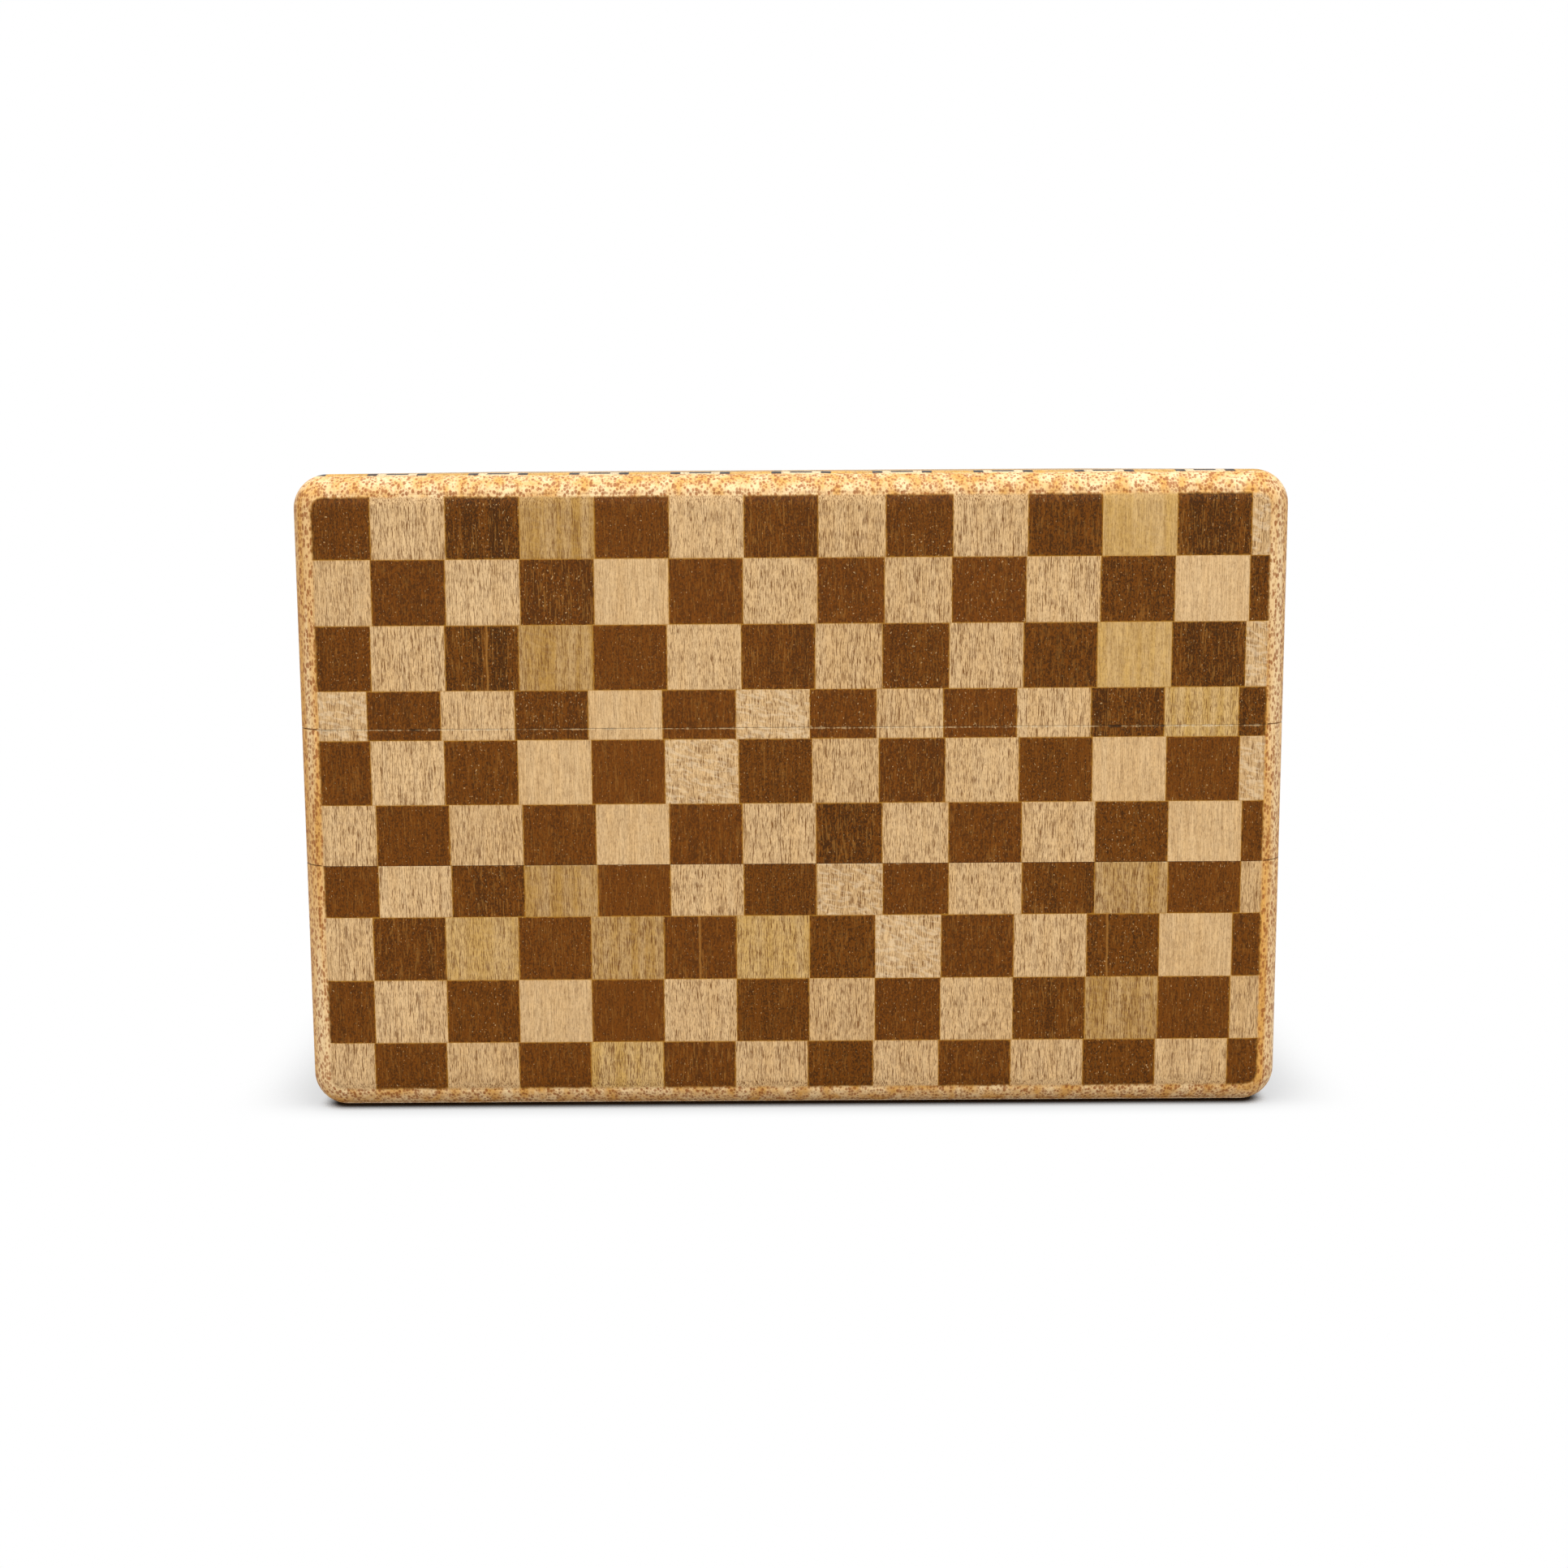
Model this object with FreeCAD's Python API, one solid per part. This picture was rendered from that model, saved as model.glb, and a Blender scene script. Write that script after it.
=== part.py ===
"""Wooden puzzle box with interlocking sliding ends, lid and base.

Millimetres, +Z up. The origin is the middle of the face that the box rests on. X runs across
the two ends, Y along the box, and the front end looks towards -Y.

The lid carries the upper strip of the front end and slides out forwards. The base is the same
set of pieces turned over: it carries the lower strip of the rear end and slides out backwards.
"""
import FreeCAD, Part
import os

os.makedirs("parts", exist_ok=True)
Vector = FreeCAD.Vector

# Outside of the box
WIDTH = 86.0
LENGTH = 121.0
HEIGHT = 56.0
EDGE_ROUND = 3.0

# Thickness of the boards
VENEER = 0.25
END_BOARD = 5.0
SIDE_BOARD = 5.0
LID_BOARD = 4.5
INNER_WALL = 5.0
FLOOR_BOARD = 2.5

# Inner floor, let into the long sides
FLOOR_LEVEL = 14.0
FLOOR_HOUSING = 1.0

# Clearances
SLIDE_GAP = 0.15
SEAM_GAP = 0.12
POCKET_GAP = 0.3

# Heights of the upper two of the three strips of the front end, the lower one takes the rest
UPPER_STRIP = 21.9
KEY_STRIP = 12.0

# Travel of the key strip, and the length of the lid's runners that stays in the sides
KEY_DROP = 12.0
LID_HOLD = 28.2

# Dovetail rails that hold the key strip and the lower strip to the inner wall
RAIL_SPACING = 48.0
RAIL_ROOT = 5.0
RAIL_HEAD = 7.4
RAIL_DEPTH = 3.0
RAIL_FOOT = 3.0
RAIL_TOP_INSET = 1.0
GROOVE_WEB = 2.6

# Runners under the lid, each with a tongue that runs in a groove of the long side
RUNNER_WIDTH = 4.0
RUNNER_DEPTH = 6.0
TONGUE_REACH = 2.0
TONGUE_HEIGHT = 2.2

# Key behind the front end: a T that stands in the way of the lid's catch
KEY_THICKNESS = 3.0
KEY_STEM_WIDTH = 12.0
KEY_HEAD_WIDTH = 20.0
KEY_HEAD_HEIGHT = 4.0
KEY_FOOT_INSET = 1.4
KEY_LAP = 0.95

# Hooks on the lid's strip that carry the ears of the key until the lid has crept forwards
HOOK_LAP = 2.1
HOOK_HEIGHT = 3.5

# Catch and stop under the lid
CATCH_DEPTH = 3.8
CATCH_LENGTH = 4.0
STOP_DEPTH = 2.5
STOP_LENGTH = 4.0

# Marquetry of the ends: one sheet laid in rows by hand, then sawn into the three strips
TILE_WIDTH = 6.38
TILE_HEIGHT = 5.65
NARROW_TILE_WIDTH = 5.77
NARROW_COLUMNS = (7, 8)
FIRST_COLUMN_INSET = 6.6
FIRST_ROW_HEIGHT = 7.3
SAW_KERF = 1.35
ROW_SHIFTS = (0.45, 0.35, 0.15, -0.35, -0.15, 0.15, 0.2, -0.45, -0.5, -0.65)

# Planes across the length, from the front face inwards
FRONT_FACE = -LENGTH / 2
STRIP_FRONT = FRONT_FACE + VENEER
STRIP_BACK = STRIP_FRONT + END_BOARD
WALL_FRONT = STRIP_BACK + SLIDE_GAP
WALL_BACK = WALL_FRONT + INNER_WALL
LID_TAIL = -WALL_FRONT - SLIDE_GAP

# Planes across the width
SIDE_FACE = WIDTH / 2
SIDE_CORE = SIDE_FACE - VENEER
SIDE_INNER = SIDE_CORE - SIDE_BOARD
RUNNER_OUTER = SIDE_INNER - SLIDE_GAP
RUNNER_INNER = RUNNER_OUTER - RUNNER_WIDTH
TONGUE_TIP = RUNNER_OUTER + TONGUE_REACH

# Planes over the height
LID_TOP = HEIGHT - VENEER
LID_UNDER = LID_TOP - LID_BOARD
SIDE_TOP = LID_UNDER - SLIDE_GAP
SIDE_FOOT = HEIGHT - SIDE_TOP
RUNNER_FOOT = LID_UNDER - RUNNER_DEPTH
UPPER_SEAM = HEIGHT - UPPER_STRIP
LOWER_SEAM = UPPER_SEAM - KEY_STRIP
CATCH_FOOT = LID_UNDER - CATCH_DEPTH

# The interlock. While the lid travels its full way the key drops its own, at a steady ratio.
# The hooks let go of the key before it has dropped their play, and the key is clear of the
# catch by the time that the catch has crept up to it.
LID_TRAVEL = -2 * WALL_BACK - LID_HOLD
KEY_RATIO = KEY_DROP / LID_TRAVEL
HOOK_PLAY = HOOK_LAP * KEY_RATIO + SLIDE_GAP
CATCH_PLAY = (KEY_LAP + SLIDE_GAP) / KEY_RATIO

# The T of the key, behind the strips
KEY_FRONT = WALL_FRONT
KEY_BACK = KEY_FRONT + KEY_THICKNESS
KEY_TOP = CATCH_FOOT + KEY_LAP
KEY_EAR = KEY_TOP - KEY_HEAD_HEIGHT
KEY_FOOT = LOWER_SEAM + KEY_FOOT_INSET
KEY_GLUE_TOP = UPPER_SEAM - KEY_FOOT_INSET


def block(x, y, z):
    """A square-edged block between pairs of planes."""
    return Part.makeBox(x[1] - x[0], y[1] - y[0], z[1] - z[0], Vector(x[0], y[0], z[0]))


def centred(width):
    """The pair of planes that a width makes about the middle of the box."""
    return (-width / 2, width / 2)


def prism(points, along):
    """A closed outline, pushed along a vector."""
    corners = [Vector(*point) for point in points]
    return Part.Face(Part.makePolygon(corners + corners[:1])).extrude(along)


def mirrored(shape):
    """The same shape on the other side of the box."""
    return shape.mirror(Vector(0, 0, 0), Vector(1, 0, 0))


def turned_over(shape):
    """The same shape turned end for end and upside down about the middle of the box."""
    turned = shape.copy()
    turned.rotate(Vector(0, 0, HEIGHT / 2), Vector(1, 0, 0), 180)
    return turned


def rounded_outside():
    """The whole box as one block, with all its edges eased by hand."""
    whole = block(centred(WIDTH), centred(LENGTH), (0, HEIGHT))
    return whole.makeFillet(EDGE_ROUND, whole.Edges)


OUTSIDE = rounded_outside()


def eased(shape):
    """A piece trimmed to the rounded outside of the box."""
    return shape.common(OUTSIDE).Solids[0]


def dovetail(x, root, head, depth, z):
    """A dovetail that stands forward of the inner wall, between two heights."""
    tip = WALL_FRONT - depth
    outline = [
        (x - root / 2, WALL_FRONT, z[0]),
        (x + root / 2, WALL_FRONT, z[0]),
        (x + head / 2, tip, z[0]),
        (x - head / 2, tip, z[0]),
    ]
    return prism(outline, Vector(0, 0, z[1] - z[0]))


def rails():
    """The pair of dovetail rails, glued to the front of the inner wall."""
    heights = (RAIL_FOOT, UPPER_SEAM - RAIL_TOP_INSET)
    return [dovetail(x, RAIL_ROOT, RAIL_HEAD, RAIL_DEPTH, heights) for x in centred(RAIL_SPACING)]


def grooved(strip, foot, top):
    """A strip with the two dovetail grooves that run on the rails."""
    for x in centred(RAIL_SPACING):
        root = RAIL_ROOT + 2 * SLIDE_GAP
        head = RAIL_HEAD + 2 * SLIDE_GAP
        strip = strip.cut(dovetail(x, root, head, RAIL_DEPTH + SLIDE_GAP, (foot, top)))
    return strip


def end_strip(foot, top):
    """A strip of an end board, over the full width of the box."""
    return block(centred(WIDTH), (STRIP_FRONT, STRIP_BACK), (foot, top))


def column_edges(shift):
    """The sides of the tiles of one row, from beyond one edge of the box to beyond the other."""
    edges = [-SIDE_FACE, -SIDE_FACE + FIRST_COLUMN_INSET + shift]
    while edges[-1] < SIDE_FACE:
        width = NARROW_TILE_WIDTH if len(edges) - 1 in NARROW_COLUMNS else TILE_WIDTH
        edges.append(edges[-1] + width)
    return edges[:-1] + [SIDE_FACE]


def tiles(foot, top, saw_cuts):
    """The dark and the light tiles on one strip, below so many saw cuts of the sheet."""
    row_top = HEIGHT + saw_cuts * SAW_KERF
    row_foot = row_top - FIRST_ROW_HEIGHT
    row = 0
    tones = ([], [])
    while row_top > foot:
        rows = (max(row_foot, foot), min(row_top, top))
        edges = column_edges(ROW_SHIFTS[row % len(ROW_SHIFTS)])
        for column, x in enumerate(zip(edges, edges[1:])):
            if rows[0] < rows[1] and x[0] < x[1]:
                tile = block(x, (FRONT_FACE, STRIP_FRONT), rows).common(OUTSIDE)
                tones[(row + column) % 2].extend(tile.Solids)
        row_top = row_foot
        row_foot = row_top - TILE_HEIGHT
        row += 1
    return tones


def lid_runner():
    """The right runner under the lid, an L whose tongue holds the lid down."""
    y = (STRIP_BACK, -WALL_BACK - SLIDE_GAP)
    bar = block((RUNNER_INNER, RUNNER_OUTER), y, (RUNNER_FOOT, LID_UNDER))
    tongue = block((RUNNER_OUTER, TONGUE_TIP), y, (RUNNER_FOOT, RUNNER_FOOT + TONGUE_HEIGHT))
    return bar.fuse(tongue).removeSplitter()


def lid_hooks():
    """Two small blocks on the back of the lid's strip, under the ears of the key."""
    y = (STRIP_BACK, KEY_FRONT + HOOK_LAP)
    top = KEY_EAR - HOOK_PLAY
    hook = block((KEY_STEM_WIDTH / 2 + POCKET_GAP, KEY_HEAD_WIDTH / 2), y, (top - HOOK_HEIGHT, top))
    return [mirrored(hook), hook]


def key_tongue():
    """The T of the key, with its foot packed out to the back of the key strip."""
    stem = KEY_STEM_WIDTH / 2
    head = KEY_HEAD_WIDTH / 2
    half = [(stem, KEY_FOOT), (stem, KEY_EAR), (head, KEY_EAR), (head, KEY_TOP)]
    right = [(x, KEY_FRONT, z) for x, z in half]
    left = [(-x, KEY_FRONT, z) for x, z in reversed(half)]
    tee = prism(right + left, Vector(0, KEY_THICKNESS, 0))
    packing = block(centred(KEY_STEM_WIDTH), (STRIP_BACK, KEY_FRONT), (KEY_FOOT, KEY_GLUE_TOP))
    return tee.fuse(packing).removeSplitter()


def lid_set():
    """The lid with everything glued to it, under names that start from the box as it stands."""
    dark, light = tiles(UPPER_SEAM + SEAM_GAP / 2, HEIGHT, 0)
    catch_front = KEY_BACK + CATCH_PLAY
    stop_front = WALL_BACK + LID_TRAVEL + SLIDE_GAP
    catch_width = KEY_HEAD_WIDTH - 2 * POCKET_GAP
    runner = lid_runner()
    return {
        "board": eased(block(centred(WIDTH), (STRIP_BACK, LID_TAIL), (LID_UNDER, LID_TOP))),
        "veneer": eased(block(centred(WIDTH), (STRIP_FRONT, LID_TAIL), (LID_TOP, HEIGHT))),
        "runner_left": mirrored(runner),
        "runner_right": runner,
        "catch": block(
            centred(catch_width),
            (catch_front, catch_front + CATCH_LENGTH),
            (CATCH_FOOT, LID_UNDER),
        ),
        "stop": block(
            centred(2 * RUNNER_INNER),
            (stop_front, stop_front + STOP_LENGTH),
            (LID_UNDER - STOP_DEPTH, LID_UNDER),
        ),
        "end_strip": eased(end_strip(UPPER_SEAM + SEAM_GAP / 2, LID_TOP)),
        "end_tiles_dark": dark,
        "end_tiles_light": light,
        "hooks": lid_hooks(),
    }


def key_set():
    """The key strip of the front end, between the two seams, with its tongue."""
    foot = LOWER_SEAM + SEAM_GAP / 2
    top = UPPER_SEAM - SEAM_GAP / 2
    dark, light = tiles(foot, top, 1)
    return {
        "key_strip": grooved(eased(end_strip(foot, top)), foot, top),
        "key_tiles_dark": dark,
        "key_tiles_light": light,
        "key_tongue": key_tongue(),
    }


def outer_strip_set():
    """The strip of the front end below the key, its grooves closed at the foot."""
    top = LOWER_SEAM - SEAM_GAP / 2
    dark, light = tiles(0, top, 2)
    return {
        "strip": grooved(eased(end_strip(0, top)), GROOVE_WEB, top),
        "tiles_dark": dark,
        "tiles_light": light,
    }


def side_board():
    """The right long side, with grooves for both runners and a housing for the floor."""
    length = (WALL_FRONT, -WALL_FRONT)
    board = block((SIDE_INNER, SIDE_CORE), length, (SIDE_FOOT, SIDE_TOP))
    groove = block(
        (SIDE_INNER, TONGUE_TIP + SLIDE_GAP),
        length,
        (RUNNER_FOOT - SLIDE_GAP, RUNNER_FOOT + TONGUE_HEIGHT + SLIDE_GAP),
    )
    housing = block(
        (SIDE_INNER, SIDE_INNER + FLOOR_HOUSING),
        length,
        (FLOOR_LEVEL, FLOOR_LEVEL + FLOOR_BOARD),
    )
    return board.cut(groove).cut(turned_over(groove)).cut(housing)


def side_veneer():
    """The sheet on the right long side."""
    return block((SIDE_CORE, SIDE_FACE), (WALL_FRONT, -WALL_FRONT), (SIDE_FOOT, SIDE_TOP))


def inner_wall():
    """The front inner wall, with the key's channel, the catch's notch and the runners' corners."""
    wall = block(centred(2 * SIDE_INNER), (WALL_FRONT, WALL_BACK), (SIDE_FOOT, SIDE_TOP))
    pocket = centred(KEY_HEAD_WIDTH + 2 * POCKET_GAP)
    channel = block(
        pocket,
        (WALL_FRONT, KEY_BACK + SLIDE_GAP),
        (KEY_FOOT - KEY_DROP - POCKET_GAP, SIDE_TOP),
    )
    notch = block(pocket, (WALL_FRONT, WALL_BACK), (CATCH_FOOT - SLIDE_GAP, SIDE_TOP))
    corner = block(
        (RUNNER_INNER - SLIDE_GAP, SIDE_INNER),
        (WALL_FRONT, WALL_BACK),
        (RUNNER_FOOT - SLIDE_GAP, SIDE_TOP),
    )
    return wall.cut(channel).cut(notch).cut(corner).cut(mirrored(corner))


def floor_board():
    """The inner floor, between the inner walls and into the housings of the sides."""
    return block(
        centred(2 * (SIDE_INNER + FLOOR_HOUSING)),
        centred(-2 * WALL_BACK),
        (FLOOR_LEVEL, FLOOR_LEVEL + FLOOR_BOARD),
    )


def as_list(piece):
    """A piece as a list of its solids."""
    return piece if isinstance(piece, list) else [piece]


def save(name, piece):
    """Write one named piece, or one group of like pieces."""
    solids = as_list(piece)
    shape = solids[0] if len(solids) == 1 else Part.makeCompound(solids)
    shape.exportStep(os.path.join("parts", name + ".step"))


def save_both_ways(front_prefix, rear_prefix, pieces):
    """Write a set of pieces as it stands, and once more turned over for the other end."""
    for name, piece in pieces.items():
        save(front_prefix + name, piece)
        save(rear_prefix + name, [turned_over(solid) for solid in as_list(piece)])


save_both_ways("lid_", "base_", lid_set())
save_both_ways("front_", "rear_", key_set())
save_both_ways("front_lower_", "rear_upper_", outer_strip_set())
save_both_ways("front_", "rear_", {"inner_wall": inner_wall(), "rails": rails()})

for piece_name, side_piece in {"board": side_board(), "veneer": side_veneer()}.items():
    save("side_" + piece_name + "_right", side_piece)
    save("side_" + piece_name + "_left", mirrored(side_piece))

save("floor_board", floor_board())
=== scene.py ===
"""Looks of a wooden puzzle box: tiled ends, lattice marquetry on the faces, bare core wood and inner wood."""

import math
import random

import bmesh
import bpy
from bpy.props import FloatProperty, FloatVectorProperty, IntProperty, PointerProperty
from mathutils import Matrix, Vector


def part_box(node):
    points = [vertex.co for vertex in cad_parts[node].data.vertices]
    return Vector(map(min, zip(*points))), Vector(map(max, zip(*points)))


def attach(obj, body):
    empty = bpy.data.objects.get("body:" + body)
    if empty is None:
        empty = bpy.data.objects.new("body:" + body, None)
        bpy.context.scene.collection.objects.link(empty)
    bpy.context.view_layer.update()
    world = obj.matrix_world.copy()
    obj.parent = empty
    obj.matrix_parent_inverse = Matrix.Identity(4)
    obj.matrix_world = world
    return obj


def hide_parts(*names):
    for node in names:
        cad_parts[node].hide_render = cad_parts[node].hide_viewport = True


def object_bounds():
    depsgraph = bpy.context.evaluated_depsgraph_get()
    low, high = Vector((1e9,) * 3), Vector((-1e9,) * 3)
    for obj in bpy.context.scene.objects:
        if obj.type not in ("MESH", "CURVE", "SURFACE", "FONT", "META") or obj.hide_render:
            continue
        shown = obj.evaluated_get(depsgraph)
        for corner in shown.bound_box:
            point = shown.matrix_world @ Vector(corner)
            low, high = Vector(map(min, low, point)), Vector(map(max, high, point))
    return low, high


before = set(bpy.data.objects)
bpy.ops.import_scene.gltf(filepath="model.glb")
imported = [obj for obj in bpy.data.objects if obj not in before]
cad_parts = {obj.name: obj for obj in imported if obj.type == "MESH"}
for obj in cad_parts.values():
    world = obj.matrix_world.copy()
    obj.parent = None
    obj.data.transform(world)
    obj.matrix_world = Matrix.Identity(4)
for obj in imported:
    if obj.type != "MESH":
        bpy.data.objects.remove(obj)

bl_info = {
    "name": "Puzzle Box Looks",
    "version": (1, 0, 0),
    "blender": (4, 5, 0),
    "location": "View3D > Sidebar > Puzzle Box",
    "description": "Dresses the boards, tiles and veneers of a wooden puzzle box",
    "category": "Object",
}

CAD_LOW, CAD_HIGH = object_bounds()
MM = 0.001

# Each row of tiles was pushed a little sideways before it was glued.
ROW_SHIFTS = (0.45, 0.35, 0.15, -0.35, -0.15, 0.15, 0.2, -0.45, -0.5, -0.65)
NARROW_COLUMNS = (7, 8)

# Tiles that were cut from unlike wood, as (row, column).
OLIVE_TILES = {(0, 3), (2, 3), (6, 3), (6, 11), (7, 4), (8, 11)}
GOLDEN_TILES = {(3, 12), (7, 2), (7, 6), (0, 11), (2, 11), (9, 4)}
SMOOTH_TILES = {(1, 4), (1, 12), (4, 3), (4, 11), (5, 4), (5, 12), (8, 3), (7, 12), (0, 11), (2, 11), (3, 4)}
LACY_TILES = {(0, 13), (2, 13), (3, 0), (3, 6), (4, 5), (4, 13), (7, 8), (6, 7)}
STREAKY_TILES = {(0, 2), (2, 2), (0, 6), (2, 6), (6, 2), (6, 10), (0, 12), (1, 3), (9, 5), (7, 1), (4, 8),
                 (5, 7), (8, 10), (3, 11), (2, 12)}
LINED_TILES = {(2, 2), (7, 5), (7, 11)}

# The strips of both ends: strip, its body, saw cuts above it in the sheet, and whether turned over.
END_STRIPS = (
    ("lid_end", "lid", 0, False),
    ("front_key", "front_key", 1, False),
    ("front_lower", "front_lower", 2, False),
    ("base_end", "base", 0, True),
    ("rear_key", "rear_key", 1, True),
    ("rear_upper", "rear_upper", 2, True),
)

# Flecks of the core wood to a metre, across the fibres twice and then along them.
END_FLECKS = (4000.0, 3800.0, 2500.0)
BOARD_FLECKS = (3000.0, 3000.0, 700.0)

# Half sides of the nested squares of the lattice, as parts of half a pitch, and where its first square lies
# on the flat faces. The last number is more than any gap between joints, and takes one out of a minimum.
DOT_SIDE = 0.215
RING_SIDE = 0.395
SQUARE_SIDE = 0.586
LATTICE_START = (0.0339, 0.0573)
FAR_OFF = 9.0

# From the middle of a tile to its joint, and how far the glue shows there.
HALF_TILE = 0.0031
GLUE_LINE = 0.00012

# The lower seam is chipped less than the upper one, by this width.
LOWER_SEAM_CARE = 0.00008

GRAIN_RELIEF = 0.00003
SHARP_ANGLE = math.radians(35)

# Half the side of the picture and the focal length of the fitted camera, both in pixels.
HALF_FRAME = 966.0
FOCAL_LENGTH = 2672.8

# Sides of the two soft lights, and where they hang.
TOP_LIGHT_SIDE = 0.5
TOP_LIGHT_PLACE = (0.0, -0.05, 0.55)
FRONT_LIGHT_SIDE = 0.6
FRONT_LIGHT_PLACE = (0.05, -0.68, 0.55)

# The floor lies a hair below the box, so that the two don't share a plane. It fades out between two distances
# from the flat underside, and a ray that is shorter than the last length comes from that underside.
FLOOR_SIZE = 6.0
FLOOR_GAP = 0.00005
FLOOR_FADE = (0.001, 0.0029)
UNDERSIDE_RAY = 0.0005

# Reach of the painted contact shade and of the painted soft shadow round the box, the depth of that painted
# shadow, and how far it goes in front of the box, where strips drop past the floor.
CONTACT_REACH = 0.004
SHADE_REACH = 0.009
SHADE_DEPTH = 0.3
SHADE_AHEAD = 0.006


def paint(red, green, blue):
    """A colour as the eye names it, from 0 to 255, turned into the linear value that a shader takes."""
    shades = []
    for shade in (red, green, blue):
        shade = shade / 255
        shades.append(shade / 12.92 if shade <= 0.04045 else ((shade + 0.055) / 1.055) ** 2.4)
    return (*shades, 1.0)


# Shades that vary the tiles and the lattice.
WARM_BROWN = paint(126, 68, 16)
PALE_SPECK = paint(214, 176, 122)
DARK_CHIP = paint(210, 176, 128)
DARK_GRIME = paint(46, 28, 12)
TAN_SHADE = paint(203, 160, 100)
RAY_FLECK = paint(240, 214, 176)
LIGHT_CHIP = paint(232, 210, 172)
LIGHT_GRIME = paint(92, 66, 38)
LATTICE_SHADE = paint(96, 60, 26)
LATTICE_SHEEN = paint(240, 206, 140)
LATTICE_PORE = paint(84, 54, 26)
LATTICE_GLUE = paint(70, 44, 18)
EBONY_STREAK = paint(62, 44, 30)


def colour(name, description, *shade):
    """A colour that a user may change."""
    return FloatVectorProperty(name=name, description=description, default=paint(*shade), subtype="COLOR",
                               size=4, min=0.0, max=1.0)


def length(name, description, millimetres):
    """A length that a user may change."""
    return FloatProperty(name=name, description=description, default=millimetres * MM, subtype="DISTANCE",
                         unit="LENGTH", precision=5)


class PuzzleTiles(bpy.types.PropertyGroup):
    """Layout of the tiled marquetry of the ends."""
    width: length("Tile Width", "Width of a full tile", 6.38)
    height: length("Tile Height", "Height of a full tile", 5.65)
    narrow_width: length("Narrow Tile Width", "Width of a tile in the two narrow columns", 5.77)
    first_column: length("First Column", "From the side of the box to the first joint between tiles", 6.6)
    first_row: length("First Row", "From the top of the box to the first joint between rows", 7.3)
    saw_kerf: length("Saw Kerf", "Strip of the sheet that was lost in each saw cut", 1.35)
    veneer: length("Veneer", "Thickness of the marquetry sheet", 0.25)
    lip: length("Seam Lip", "How far the fibres of the veneer stand over a sliding seam", 0.045)
    edge_round: length("Edge Round", "Radius that the outer edges are sanded to", 3.0)
    edge_steps: IntProperty(name="Edge Steps", description="Facets round a sanded edge", default=12,
                            min=4, max=24)
    seed: IntProperty(name="Seed", description="Start of the draw of tile tones", default=11)


class PuzzleWoods(bpy.types.PropertyGroup):
    """Colours of the woods."""
    dark: colour("Dark Tile", "Brown of a dark tile", 113, 63, 8)
    dark_deep: colour("Dark Streak", "Deep streaks in a dark tile", 64, 35, 4)
    dark_pale: colour("Dark Pore", "Pale pores and lines in a dark tile", 172, 118, 52)
    light: colour("Light Tile", "Tan of a light tile", 234, 194, 139)
    light_pale: colour("Light Sheen", "Palest parts of a light tile", 241, 211, 166)
    pore: colour("Light Pore", "Pores in a light tile", 120, 76, 32)
    olive: colour("Olive Tile", "Tiles of an olive yellow wood", 190, 146, 74)
    golden: colour("Golden Tile", "Tiles of a golden wood", 216, 174, 98)
    fringe: colour("Golden Fringe", "Glue and thinned veneer at the edges of tiles", 178, 124, 36)
    core: colour("Core Wood", "Bare wood of the sanded edges", 224, 167, 86)
    core_pale: colour("Core Wood Pale", "Paler bands of the bare wood", 249, 216, 164)
    fleck: colour("Core Fleck", "Reddish flecks of the core wood", 152, 84, 29)
    inner: colour("Inner Wood", "Planed wood of the inner pieces", 224, 192, 146)
    inner_line: colour("Inner Growth Line", "Growth lines of the planed wood", 190, 147, 96)
    lattice_band: colour("Lattice Band", "Yellow bands of the lattice marquetry", 206, 156, 62)
    lattice_dark: colour("Lattice Dark", "Black wood of the nested squares", 26, 18, 12)
    lattice_pale: colour("Lattice Pale", "Pale wood of the nested squares", 226, 204, 162)
    lattice_cross: colour("Lattice Crossing", "Brown squares where the bands cross", 128, 72, 36)
    pitch: length("Lattice Pitch", "From one nested square to the next", 8.7)


class PuzzleStage(bpy.types.PropertyGroup):
    """Camera and light."""
    eye: FloatVectorProperty(name="Eye", description="Place of the camera", subtype="TRANSLATION",
                             unit="LENGTH", size=3, precision=5, default=(-0.000731, -0.24693, 0.056307))
    down: FloatProperty(name="Look Down", description="Angle below the horizon", subtype="ANGLE",
                        unit="ROTATION", default=math.radians(8.2905))
    roll: FloatProperty(name="Roll", description="Turn of the camera about its view", subtype="ANGLE",
                        unit="ROTATION", default=-0.005927)
    view: FloatProperty(name="View", description="Angle across the picture", subtype="ANGLE", unit="ROTATION",
                        default=2 * math.atan(HALF_FRAME / FOCAL_LENGTH))
    top_light: FloatProperty(name="Top Light", description="Power of the light above", default=2.4,
                             unit="POWER")
    front_light: FloatProperty(name="Front Light", description="Power of the light in front", default=3.7,
                               unit="POWER")
    sky: FloatProperty(name="Sky", description="Strength of the even light all round", default=0.5)
    floor: colour("Floor", "Plain floor", 250, 250, 250)
    # Colour of the painted contact shade on the floor, and of the painted soft shadow round the box.
    contact: colour("Contact Shade", "Floor close under the edges of the box", 30, 19, 10)
    bounce: colour("Floor Bounce", "Floor as the box is lit by it", 182, 180, 176)


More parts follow.
